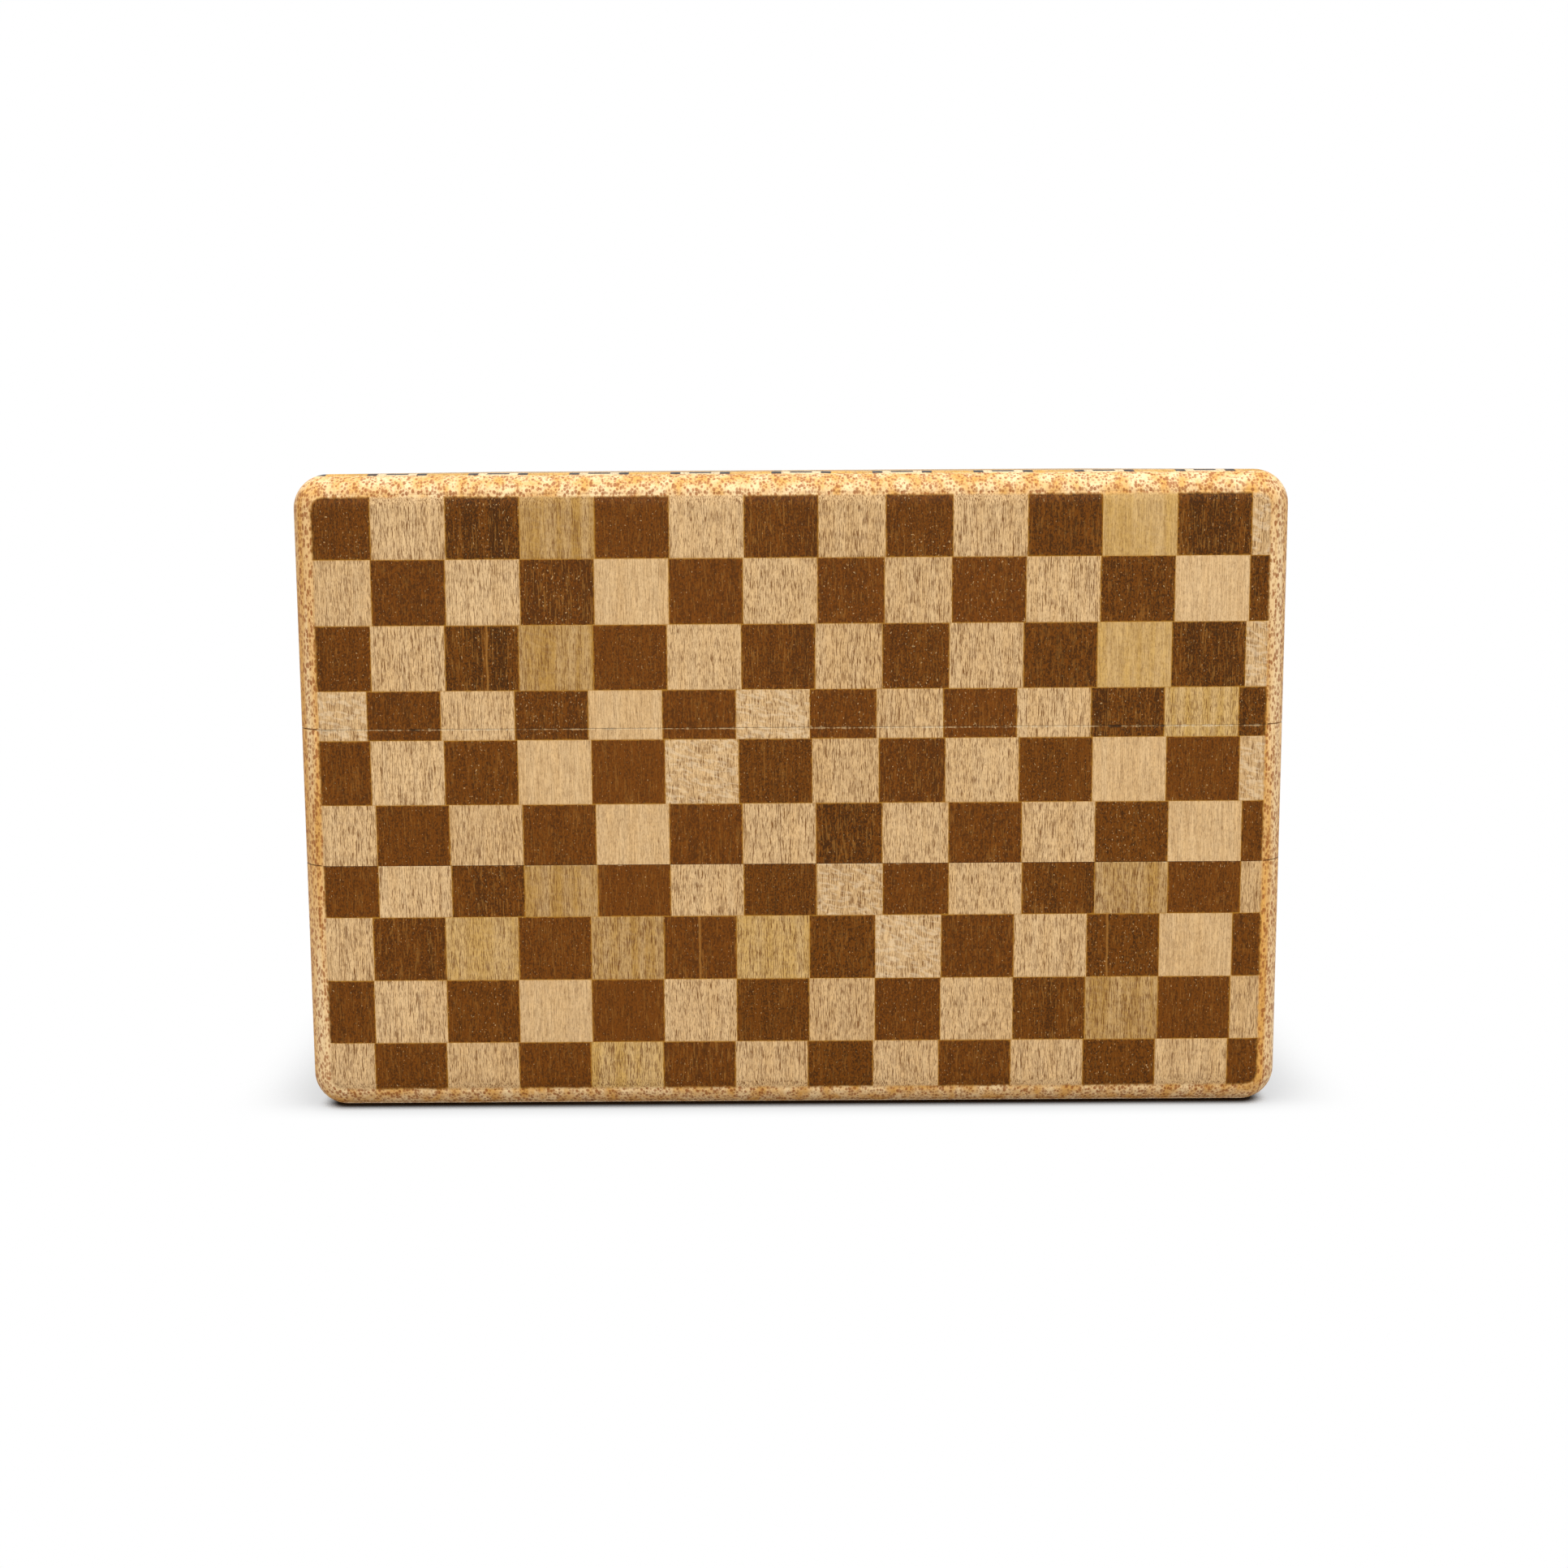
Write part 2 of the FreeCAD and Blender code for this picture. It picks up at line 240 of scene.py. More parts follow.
class Bench:
    """Places and joins the shader nodes of one tree."""

    def __init__(self, tree):
        self.tree = tree

    def feed(self, socket, value):
        """Join a socket to an input, or set the input."""
        if isinstance(value, bpy.types.NodeSocket):
            self.tree.links.new(value, socket)
        else:
            socket.default_value = value

    def put(self, kind, inputs=None, **settings):
        """A new node with its settings and inputs."""
        item = self.tree.nodes.new("ShaderNode" + kind)
        for name, value in settings.items():
            setattr(item, name, value)
        for name, value in (inputs or {}).items():
            self.feed(item.inputs[name], value)
        return item

    def sum(self, operation, *values):
        """The result of one math node."""
        item = self.put("Math", operation=operation)
        for socket, value in zip(item.inputs, values):
            self.feed(socket, value)
        return item.outputs[0]

    def move(self, operation, first, second):
        """The result of one vector math node."""
        item = self.put("VectorMath", operation=operation)
        self.feed(item.inputs[0], first)
        self.feed(item.inputs[1], second)
        return item.outputs[0]

    def mix(self, factor, first, second, blend_type="MIX"):
        """A mix of two colours."""
        item = self.put("Mix", data_type="RGBA", blend_type=blend_type)
        self.feed(item.inputs[0], factor)
        self.feed(item.inputs[6], first)
        self.feed(item.inputs[7], second)
        return item.outputs[2]

    def ease(self, value, low, high, start=0.0, end=1.0):
        """A smooth step from start to end as the value goes from low to high."""
        item = self.put("MapRange", interpolation_type="SMOOTHSTEP")
        for socket, number in zip(item.inputs, (value, low, high, start, end)):
            self.feed(socket, number)
        return item.outputs[0]

    def noise(self, vector, detail=2.0, roughness=0.5):
        """Noise with cells one unit apart."""
        item = self.put("TexNoise", {"Vector": vector, "Scale": 1.0, "Detail": detail,
                                     "Roughness": roughness})
        return item.outputs[0]

    def grit(self, vector, scale, detail=2.0, roughness=0.5):
        """Noise with so many cells to a metre along each axis."""
        return self.noise(self.move("MULTIPLY", vector, scale), detail, roughness)

    def sway(self, value, mask, reach):
        """A value that goes up and down with a mask from 0 to 1."""
        return self.sum("ADD", value, self.sum("MULTIPLY", self.sum("SUBTRACT", mask, 0.5), reach))

    def tint(self, base, mask, part, shade):
        """A colour with a shade laid over it by a part of a mask."""
        return self.mix(self.sum("MULTIPLY", mask, part), base, shade)

    def split(self, vector):
        """The three parts of a vector."""
        return self.put("SeparateXYZ", {0: vector}).outputs

    def join(self, x, y, z):
        """A vector of three parts."""
        return self.put("CombineXYZ", {0: x, 1: y, 2: z}).outputs[0]

    def place(self):
        """The place on the piece, in metres in the box's own frame."""
        return self.put("TexCoord").outputs["Object"]

    def group(self, tree, **inputs):
        """A node group with its inputs, whose names use an underscore for a space."""
        item = self.tree.nodes.new("ShaderNodeGroup")
        item.node_tree = tree
        for name, value in inputs.items():
            self.feed(item.inputs[name.replace("_", " ")], value)
        return item.outputs


def new_group(name, inputs, outputs):
    """An empty node group with named sockets, its bench, its inputs and its output node."""
    tree = bpy.data.node_groups.new(name, "ShaderNodeTree")
    for socket, kind in inputs.items():
        tree.interface.new_socket(name=socket, in_out="INPUT", socket_type="NodeSocket" + kind)
    for socket in outputs:
        tree.interface.new_socket(name=socket, in_out="OUTPUT", socket_type="NodeSocketFloat")
    entry = tree.nodes.new("NodeGroupInput")
    leave = tree.nodes.new("NodeGroupOutput")
    return tree, Bench(tree), entry.outputs, leave.inputs


def grain_group():
    """Streaks and pores of wood whose fibres run along Z."""
    tree, bench, given, out = new_group(
        "Wood Grain",
        {"Vector": "Vector", "Streak Width": "Float", "Streak Length": "Float", "Pore Width": "Float",
         "Pore Length": "Float"},
        ("Streak", "Pore", "Speck"),
    )

    def stretched(width, run, detail, shift):
        across = bench.sum("DIVIDE", 1.0, width)
        along = bench.sum("DIVIDE", 1.0, run)
        fibres = bench.move("MULTIPLY", given["Vector"], bench.join(across, across, along))
        return bench.noise(bench.move("ADD", fibres, (shift, shift, shift)), detail)

    streak = stretched(given["Streak Width"], given["Streak Length"], 3.0, 7.0)
    bench.feed(out["Streak"], bench.ease(streak, 0.3, 0.7))
    pore = stretched(given["Pore Width"], given["Pore Length"], 2.0, 31.0)
    crowd = stretched(bench.sum("MULTIPLY", given["Pore Width"], 9.0),
                      bench.sum("MULTIPLY", given["Pore Length"], 2.5), 1.0, 53.0)
    level = bench.sum("SUBTRACT", 0.65, bench.sum("MULTIPLY", crowd, 0.18))
    bench.feed(out["Pore"], bench.ease(bench.sum("SUBTRACT", pore, level), -0.01, 0.07))
    speck = stretched(bench.sum("MULTIPLY", given["Pore Width"], 0.9),
                      bench.sum("MULTIPLY", given["Pore Width"], 1.5), 0.0, 77.0)
    bench.feed(out["Speck"], bench.ease(speck, 0.765, 0.815))
    return tree


def joint_group():
    """Golden glue and torn fibres along the joints between tiles."""
    tree, bench, given, out = new_group(
        "Tile Joint",
        {"Tile": "Vector", "Vector": "Vector", "Half Tile": "Float", "Line": "Float"},
        ("Fringe",),
    )
    across, along, _ = bench.split(given["Tile"])
    room = bench.sum("SUBTRACT", 1.0, bench.sum("MAXIMUM", bench.sum("ABSOLUTE", across),
                                                bench.sum("ABSOLUTE", along)))
    room = bench.sum("MULTIPLY", room, given["Half Tile"])
    rag = bench.grit(given["Vector"], (2600.0, 2600.0, 2600.0))
    reach = bench.sum("MULTIPLY", given["Line"], bench.ease(rag, 0.25, 0.75, 0.35, 1.6))
    bench.feed(out["Fringe"], bench.ease(room, 0.0, reach, 1.0, 0.0))
    return tree


def feather_group():
    """How far a sheet of veneer is sanded away towards a rounded edge."""
    tree, bench, given, out = new_group(
        "Veneer Feather", {"Vector": "Vector", "Depth": "Float", "Sheet": "Float"}, ("Feather",))
    worn = bench.sum("DIVIDE", given["Depth"], given["Sheet"])
    rag = bench.grit(given["Vector"], (1900.0, 1900.0, 1900.0), 3.0)
    bench.feed(out["Feather"], bench.ease(bench.sway(worn, rag, 0.4), 0.5, 0.92))
    return tree


def chip_group():
    """Chipped fibres along the two sliding seams of an end."""
    tree, bench, given, out = new_group(
        "Seam Chips", {"Vector": "Vector", "Height": "Float", "Upper": "Float", "Lower": "Float"},
        ("Chip", "Grime"))
    _, y, z = bench.split(given["Vector"])
    behind = bench.sum("GREATER_THAN", y, 0.0)
    turned = bench.sum("SUBTRACT", given["Height"], z)
    level = bench.sum("ADD", bench.sum("MULTIPLY", z, bench.sum("SUBTRACT", 1.0, behind)),
                      bench.sum("MULTIPLY", turned, behind))
    upper = bench.sum("ABSOLUTE", bench.sum("SUBTRACT", level, given["Upper"]))
    lower = bench.sum("ABSOLUTE", bench.sum("SUBTRACT", level, given["Lower"]))
    lower = bench.sum("ADD", lower, LOWER_SEAM_CARE)
    near = bench.sum("MINIMUM", upper, lower)
    rag = bench.grit(given["Vector"], (1700.0, 1700.0, 400.0), 3.0, 0.6)
    reach = bench.ease(rag, 0.4, 0.75, 0.00004, 0.00017)
    torn = bench.grit(given["Vector"], (3600.0, 3600.0, 100.0))
    torn = bench.ease(torn, 0.4, 0.62, 0.1, 0.9)
    chip = bench.ease(near, bench.sum("MULTIPLY", reach, 0.6), reach, 1.0, 0.0)
    bench.feed(out["Chip"], bench.sum("MULTIPLY", chip, torn))
    spot = bench.grit(given["Vector"], (520.0, 520.0, 200.0), 1.0)
    dirt = bench.ease(spot, 0.6, 0.68)
    bench.feed(out["Grime"], bench.sum("MULTIPLY", dirt, bench.ease(near, 0.00006, 0.00016, 1.0, 0.0)))
    return tree


def core_group(grain):
    """Bands, pores and crowded flecks of the core wood, whose fibres run along Z."""
    tree, bench, given, out = new_group(
        "Core Wood", {"Vector": "Vector", "Fleck Scale": "Vector"}, ("Streak", "Pore", "Fleck"))
    bands = bench.group(grain, Vector=given["Vector"], Streak_Width=0.0013, Streak_Length=0.03,
                        Pore_Width=0.00016, Pore_Length=0.0012)
    bench.feed(out["Streak"], bands["Streak"])
    bench.feed(out["Pore"], bands["Pore"])
    fine = bench.move("MULTIPLY", given["Vector"], (1400.0, 1400.0, 1400.0))
    warp = bench.put("TexNoise", {"Vector": fine, "Scale": 1.0}).outputs[1]
    warp = bench.move("MULTIPLY", bench.move("SUBTRACT", warp, (0.5, 0.5, 0.5)), (0.9, 0.9, 0.9))
    spots = bench.move("ADD", bench.move("MULTIPLY", given["Vector"], given["Fleck Scale"]), warp)
    cell = bench.put("TexVoronoi", {"Vector": spots, "Scale": 1.0, "Randomness": 0.9}).outputs
    draw = bench.put("SeparateColor", {0: cell["Color"]}).outputs[0]
    reach = bench.ease(draw, 0.0, 1.0, 0.44, 0.76)
    fleck = bench.ease(cell["Distance"], bench.sum("MULTIPLY", reach, 0.55), reach, 1.0, 0.0)
    bench.feed(out["Fleck"], bench.sum("MULTIPLY", fleck, bench.ease(draw, 0.0, 1.0, 0.45, 0.86)))
    return tree


def lattice_group():
    """Nested squares set in a lattice of bands, on a plane of two lengths."""
    tree, bench, given, out = new_group(
        "Lattice Marquetry", {"Across": "Float", "Along": "Float", "Pitch": "Float"},
        ("Dark", "Pale", "Crossing", "Joint", "Tone"))
    sides = []
    cells = []
    for way in (given["Across"], given["Along"]):
        turn = bench.sum("ADD", bench.sum("DIVIDE", way, given["Pitch"]), 0.5)
        cells.append(bench.sum("FLOOR", turn))
        part = bench.sum("ABSOLUTE", bench.sum("SUBTRACT", bench.sum("FRACT", turn), 0.5))
        sides.append(bench.sum("MULTIPLY", part, 2.0))
    ring = bench.sum("MAXIMUM", *sides)
    inner = bench.sum("MINIMUM", *sides)
    square = bench.sum("LESS_THAN", ring, SQUARE_SIDE)
    pale = bench.sum("MULTIPLY", bench.sum("GREATER_THAN", ring, DOT_SIDE),
                     bench.sum("LESS_THAN", ring, RING_SIDE))
    bench.feed(out["Pale"], pale)
    bench.feed(out["Dark"], bench.sum("SUBTRACT", square, pale))
    crossing = bench.sum("GREATER_THAN", inner, SQUARE_SIDE)
    bench.feed(out["Crossing"], crossing)
    gaps = []
    for edge in (DOT_SIDE, RING_SIDE, SQUARE_SIDE):
        gaps.append(bench.sum("ABSOLUTE", bench.sum("SUBTRACT", ring, edge)))
    gaps.append(bench.sum("ADD", bench.sum("ABSOLUTE", bench.sum("SUBTRACT", inner, SQUARE_SIDE)),
                          bench.sum("MULTIPLY", square, FAR_OFF)))
    near = bench.sum("MINIMUM", bench.sum("MINIMUM", *gaps[:2]), bench.sum("MINIMUM", *gaps[2:]))
    bench.feed(out["Joint"], bench.ease(near, 0.004, 0.02, 1.0, 0.0))
    layer = bench.sum("ADD", bench.sum("ADD", square, bench.sum("MULTIPLY", pale, 2.0)),
                      bench.sum("MULTIPLY", crossing, 5.0))
    spot = bench.join(*cells, layer)
    draw = bench.put("TexWhiteNoise", {"Vector": spot}, noise_dimensions="3D")
    bench.feed(out["Tone"], draw.outputs[0])
    return tree


def new_material(name, roughness, specular=0.2):
    """A material with its bench and its shader."""
    material = bpy.data.materials.new(name)
    material.use_nodes = True
    tree = material.node_tree
    tree.nodes.clear()
    bench = Bench(tree)
    shader = bench.put("BsdfPrincipled")
    shader.inputs["Roughness"].default_value = roughness
    shader.inputs["Specular IOR Level"].default_value = specular
    leave = bench.put("OutputMaterial")
    tree.links.new(shader.outputs[0], leave.inputs["Surface"])
    return material, bench, shader


def seen_rays(bench):
    """What is known of a ray, and whether it shows in the picture, straight or through gloss or glass."""
    path = bench.put("LightPath").outputs
    seen = bench.sum("MAXIMUM", path["Is Camera Ray"], path["Is Transmission Ray"])
    return path, bench.sum("MAXIMUM", seen, path["Is Glossy Ray"])


def relief(bench, shader, height, distance=GRAIN_RELIEF):
    """Raise the surface by a height map."""
    bump = bench.put("Bump", {"Height": height, "Distance": distance, "Strength": 0.5})
    bench.feed(shader.inputs["Normal"], bump.outputs[0])


def tile_inputs(bench, groups):
    """What both tones of tile share: place, place along the fibres, tone, joint, feather and seam chips."""
    tiles = bpy.context.scene.puzzle_tiles
    place = bench.place()
    seed = bench.put("Attribute", attribute_name="tile_seed").outputs["Vector"]
    tone = bench.put("Attribute", attribute_name="tile_tone")
    fibres = bench.move("ADD", place, seed)
    tile = bench.put("UVMap", uv_map="tile").outputs[0]
    joint = bench.group(groups["joint"], Tile=tile, Vector=place, Half_Tile=HALF_TILE, Line=GLUE_LINE)
    depth = bench.sum("SUBTRACT", CAD_HIGH.y, bench.sum("ABSOLUTE", bench.split(place)[1]))
    feather = bench.group(groups["feather"], Vector=place, Depth=depth, Sheet=tiles.veneer)
    chips = bench.group(groups["chip"], Vector=place, Height=CAD_HIGH.z,
                        Upper=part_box("front_key_strip")[1].z, Lower=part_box("front_lower_strip")[1].z)
    return place, fibres, tone, joint["Fringe"], feather["Feather"], chips


def core_colour(bench, groups, fibres, fleck_scale):
    """Colour of the core wood, with its masks."""
    woods = bpy.context.scene.puzzle_woods
    wood = bench.group(groups["core"], Vector=fibres, Fleck_Scale=fleck_scale)
    base = bench.mix(wood["Streak"], woods.core, woods.core_pale)
    base = bench.tint(base, wood["Pore"], 0.25, woods.fleck)
    return bench.mix(wood["Fleck"], base, woods.fleck), wood


def dark_tile_material(groups):
    """Satin brown veneer with upright streaks, pale pores and a golden fringe."""
    woods = bpy.context.scene.puzzle_woods
    material, bench, shader = new_material("brown_tile_veneer", 0.5, 0.1)
    place, fibres, tone, fringe, feather, chips = tile_inputs(bench, groups)
    value, warmth, lined = bench.put("SeparateColor", {0: tone.outputs["Color"]}).outputs
    streaky = tone.outputs["Alpha"]
    grain = bench.group(groups["grain"], Vector=fibres, Streak_Width=0.0011, Streak_Length=0.05,
                        Pore_Width=0.00013, Pore_Length=0.0012)
    fine = bench.group(groups["grain"], Vector=fibres, Streak_Width=0.00022, Streak_Length=0.003,
                       Pore_Width=0.0001, Pore_Length=0.0006)
    deep = bench.sum("MULTIPLY", grain["Streak"], bench.sum("ADD", bench.sum("MULTIPLY", streaky, 0.6), 0.12))
    deep = bench.sum("ADD", deep, bench.sum("MULTIPLY", value, 0.4))
    band = bench.group(groups["grain"], Vector=fibres, Streak_Width=0.0004, Streak_Length=0.02,
                       Pore_Width=0.0002, Pore_Length=0.002)
    deep = bench.sway(deep, band["Streak"], 0.34)
    deep = bench.sway(deep, fine["Streak"], 0.6)
    dust = bench.grit(fibres, (7000.0, 7000.0, 4500.0), 2.0, 0.7)
    deep = bench.sum("ADD", deep, bench.ease(dust, 0.35, 0.65, -0.8, 0.8))
    base = bench.mix(deep, woods.dark, woods.dark_deep)
    base = bench.tint(base, warmth, 0.35, WARM_BROWN)
    pores = bench.sum("MULTIPLY", grain["Pore"], bench.sum("ADD", bench.sum("MULTIPLY", streaky, 0.16), 0.2))
    base = bench.mix(pores, base, woods.dark_pale)
    base = bench.tint(base, grain["Speck"], 0.6, PALE_SPECK)
    base = bench.tint(base, fine["Pore"], 0.45, woods.dark_deep)
    side = bench.split(bench.put("UVMap", uv_map="tile").outputs[0])[0]
    wander = bench.grit(fibres, (0.0, 0.0, 500.0), 1.0)
    side = bench.sway(side, wander, 0.12)
    aside = bench.sum("ABSOLUTE", bench.sum("SUBTRACT", side, bench.sum("SUBTRACT", value, 0.5)))
    line = bench.sum("MULTIPLY", bench.ease(aside, 0.008, 0.045, 0.6, 0.0), lined)
    base = bench.mix(line, base, woods.dark_pale)
    base = bench.tint(base, fringe, 0.7, woods.fringe)
    core, _ = core_colour(bench, groups, place, END_FLECKS)
    base = bench.mix(feather, base, bench.mix(feather, woods.fringe, core))
    base = bench.tint(base, chips["Chip"], 0.65, DARK_CHIP)
    base = bench.tint(base, chips["Grime"], 0.8, DARK_GRIME)
    bench.feed(shader.inputs["Base Color"], base)
    bench.feed(shader.inputs["Roughness"], bench.ease(fine["Streak"], 0.0, 1.0, 0.44, 0.6))
    lift = bench.sum("SUBTRACT", fine["Streak"], bench.sum("MULTIPLY", grain["Pore"], 0.9))
    lift = bench.sum("SUBTRACT", lift, bench.sum("MULTIPLY", fringe, 0.8))
    relief(bench, shader, lift)
    return material


def light_tile_material(groups):
    """Satin tan veneer with upright pores, ray fleck on some tiles and a golden fringe."""
    woods = bpy.context.scene.puzzle_woods
    material, bench, shader = new_material("tan_tile_veneer", 0.5, 0.12)
    place, fibres, tone, fringe, feather, chips = tile_inputs(bench, groups)
    value, wood, lacy = bench.put("SeparateColor", {0: tone.outputs["Color"]}).outputs
    smooth = tone.outputs["Alpha"]
    grain = bench.group(groups["grain"], Vector=fibres, Streak_Width=0.0009, Streak_Length=0.014,
                        Pore_Width=0.000055, Pore_Length=0.0011)
    fine = bench.group(groups["grain"], Vector=fibres, Streak_Width=0.00014, Streak_Length=0.003,
                       Pore_Width=0.00007, Pore_Length=0.0006)
    body = bench.mix(bench.ease(wood, 0.25, 0.45), woods.light, woods.golden)
    body = bench.mix(bench.ease(wood, 0.6, 0.8), body, woods.olive)
    body = bench.tint(body, grain["Streak"], 0.35, woods.light_pale)
    body = bench.tint(body, value, 0.3, TAN_SHADE)
    rough_wood = bench.sum("SUBTRACT", 1.0, bench.sum("MULTIPLY", smooth, 0.65))
    for pores, part in ((grain["Pore"], 0.95), (fine["Pore"], 0.7)):
        body = bench.tint(body, bench.sum("MULTIPLY", pores, part), rough_wood, woods.pore)
    dust = bench.grit(fibres, (7500.0, 7500.0, 3500.0), 2.0, 0.7)
    dim = bench.sum("ADD", bench.ease(fine["Streak"], 0.0, 1.0, 0.2, 0.0),
                    bench.ease(dust, 0.45, 0.75, 0.0, 0.35))
    body = bench.mix(dim, body, woods.pore)
    tilted = bench.put("Mapping", {"Vector": fibres, "Rotation": (0.0, math.radians(78), 0.0)}).outputs[0]
    ray = bench.group(groups["grain"], Vector=tilted, Streak_Width=0.0003, Streak_Length=0.0009,
                      Pore_Width=0.00025, Pore_Length=0.002)
    rays = bench.sum("MULTIPLY", bench.ease(ray["Streak"], 0.45, 0.9), lacy)
    body = bench.tint(body, rays, 0.4, RAY_FLECK)
    base = bench.tint(body, fringe, 0.42, woods.fringe)
    core, _ = core_colour(bench, groups, place, END_FLECKS)
    base = bench.mix(feather, base, core)
    base = bench.tint(base, chips["Chip"], 0.7, LIGHT_CHIP)
    base = bench.tint(base, chips["Grime"], 0.25, LIGHT_GRIME)
    bench.feed(shader.inputs["Base Color"], base)
    bench.feed(shader.inputs["Roughness"], bench.ease(fine["Streak"], 0.0, 1.0, 0.58, 0.44))
    lift = bench.sum("SUBTRACT", fine["Streak"], grain["Pore"])
    lift = bench.sum("SUBTRACT", lift, bench.sum("MULTIPLY", fringe, 0.8))
    relief(bench, shader, lift)
    return material


def core_material(groups, name, along, fleck_scale):
    """Bare wood of the boards, with crowded reddish flecks and soft bands along one axis of the box."""
    material, bench, shader = new_material(name, 0.55)
    place = bench.place()
    x, y, z = bench.split(place)
    fibres = bench.join(x, z, y) if along == "Y" else place
    base, wood = core_colour(bench, groups, fibres, fleck_scale)
    bench.feed(shader.inputs["Base Color"], base)
    bench.feed(shader.inputs["Roughness"], bench.ease(wood["Streak"], 0.0, 1.0, 0.6, 0.5))
    relief(bench, shader, bench.sum("SUBTRACT", wood["Streak"], wood["Fleck"]))
    return material


def inner_material(groups, name, along):
    """Bare planed wood whose fibres run along one axis of the box."""
    woods = bpy.context.scene.puzzle_woods
    material, bench, shader = new_material(name, 0.62, 0.3)
    place = bench.place()
    x, y, z = bench.split(place)
    fibres = bench.join(*{"X": (y, z, x), "Y": (z, x, y), "Z": (x, y, z)}[along])
    grain = bench.group(groups["grain"], Vector=fibres, Streak_Width=0.0018, Streak_Length=0.06,
                        Pore_Width=0.00018, Pore_Length=0.0016)
    rings = bench.grit(fibres, (160.0, 260.0, 7.0))
    ring = bench.sum("FRACT", bench.sum("MULTIPLY", rings, 9.0))
    ring = bench.sum("MULTIPLY", bench.ease(ring, 0.35, 0.95), 0.4)
    base = bench.mix(ring, woods.inner, woods.inner_line)
    base = bench.tint(base, grain["Streak"], 0.3, woods.core_pale)
    base = bench.tint(base, grain["Pore"], 0.35, woods.inner_line)
    bench.feed(shader.inputs["Base Color"], base)
    bench.feed(shader.inputs["Roughness"], bench.ease(grain["Streak"], 0.0, 1.0, 0.66, 0.55))
    relief(bench, shader, bench.sum("SUBTRACT", grain["Streak"], grain["Pore"]), 0.00004)
    return material


def lattice_material(groups, name, flat):
    """Satin lattice marquetry on the flat faces or on the long sides, fading where an edge is sanded."""
    woods = bpy.context.scene.puzzle_woods
    tiles = bpy.context.scene.puzzle_tiles
    material, bench, shader = new_material(name, 0.46)
    place = bench.place()
    x, y, z = bench.split(place)
    fibres = bench.join(x, z, y)
    above = bench.sum("SUBTRACT", z, CAD_HIGH.z / 2)
    across, along = y, above
    if flat:
        across = bench.sum("ADD", x, LATTICE_START[0])
        along = bench.sum("ADD", y, LATTICE_START[1])
    lattice = bench.group(groups["lattice"], Across=across, Along=along, Pitch=woods.pitch)
    seed = bench.move("MULTIPLY", bench.join(lattice["Tone"], lattice["Tone"], lattice["Tone"]),
                      (0.37, 0.53, 0.71))
    grain = bench.group(groups["grain"], Vector=bench.move("ADD", fibres, seed), Streak_Width=0.0006,
                        Streak_Length=0.012, Pore_Width=0.00014, Pore_Length=0.001)
    base = bench.mix(lattice["Crossing"], woods.lattice_band, woods.lattice_cross)
    base = bench.mix(lattice["Pale"], base, woods.lattice_pale)
    shade = bench.ease(lattice["Tone"], 0.0, 1.0, 0.0, 0.3)
    base = bench.mix(shade, base, LATTICE_SHADE)
    base = bench.tint(base, grain["Streak"], 0.18, LATTICE_SHEEN)
    base = bench.tint(base, grain["Pore"], 0.34, LATTICE_PORE)
    ebony = bench.tint(woods.lattice_dark, grain["Streak"], 0.2, EBONY_STREAK)
    base = bench.mix(lattice["Dark"], base, ebony)
    base = bench.tint(base, lattice["Joint"], 0.45, LATTICE_GLUE)
    if flat:
        depth = bench.sum("SUBTRACT", CAD_HIGH.z / 2, bench.sum("ABSOLUTE", above))
        feather = bench.group(groups["feather"], Vector=place, Depth=depth, Sheet=tiles.veneer)["Feather"]
        core, _ = core_colour(bench, groups, fibres, BOARD_FLECKS)
        base = bench.mix(feather, base, core)
    bench.feed(shader.inputs["Base Color"], base)
    bench.feed(shader.inputs["Roughness"], bench.ease(grain["Streak"], 0.0, 1.0, 0.5, 0.4))
    lift = bench.sum("SUBTRACT", grain["Streak"], bench.sum("ADD", grain["Pore"], lattice["Joint"]))
    relief(bench, shader, lift)
    return material


def finished(shape, node, body, finish):
    """Put a finished shape in the scene as a piece that stands for a CAD node and rides on a body."""
    mesh = bpy.data.meshes.new(node + "_look")
    shape.to_mesh(mesh)
    shape.free()
    mesh.materials.append(bpy.data.materials[finish])
    mesh.shade_smooth()
    mesh.set_sharp_from_angle(angle=SHARP_ANGLE)
    piece = bpy.data.objects.new(node + "_look", mesh)
    bpy.context.scene.collection.objects.link(piece)
    even = piece.modifiers.new("even_shading", "WEIGHTED_NORMAL")
    even.keep_sharp = True
    even.weight = 100
    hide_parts(node)
    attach(piece, body)


def rounded_block():
    """The whole outside of the box, with its edges sanded round."""
    tiles = bpy.context.scene.puzzle_tiles
    size = CAD_HIGH - CAD_LOW
    shape = bmesh.new()
    bmesh.ops.create_cube(shape, size=1.0)
    bmesh.ops.scale(shape, vec=size, verts=shape.verts)
    bmesh.ops.translate(shape, vec=(CAD_LOW + CAD_HIGH) / 2, verts=shape.verts)
    bmesh.ops.bevel(shape, geom=shape.edges[:], offset=tiles.edge_round, offset_type="OFFSET",
                    segments=tiles.edge_steps, profile=0.5, affect="EDGES", material=-1)
    return shape


def slab(shape, axis, low, high):
    """A copy of a solid, cut off square below one length along an axis and above another."""
    cut = shape.copy()
    for level, sign in ((low, -1), (high, 1)):
        facing = Vector((0, 0, 0))
        facing[axis] = sign
        spot = Vector((0, 0, 0))
        spot[axis] = level
        everything = cut.verts[:] + cut.edges[:] + cut.faces[:]
        made = bmesh.ops.bisect_plane(cut, geom=everything, dist=1e-8, plane_co=spot, plane_no=facing,
                                      clear_outer=True)
        rim = [item for item in made["geom_cut"] if isinstance(item, bmesh.types.BMEdge)]
        rim = [edge for edge in rim if edge.is_boundary]
        if rim:
            bmesh.ops.contextual_create(cut, geom=rim)
    bmesh.ops.recalc_face_normals(cut, faces=cut.faces[:])
    return cut


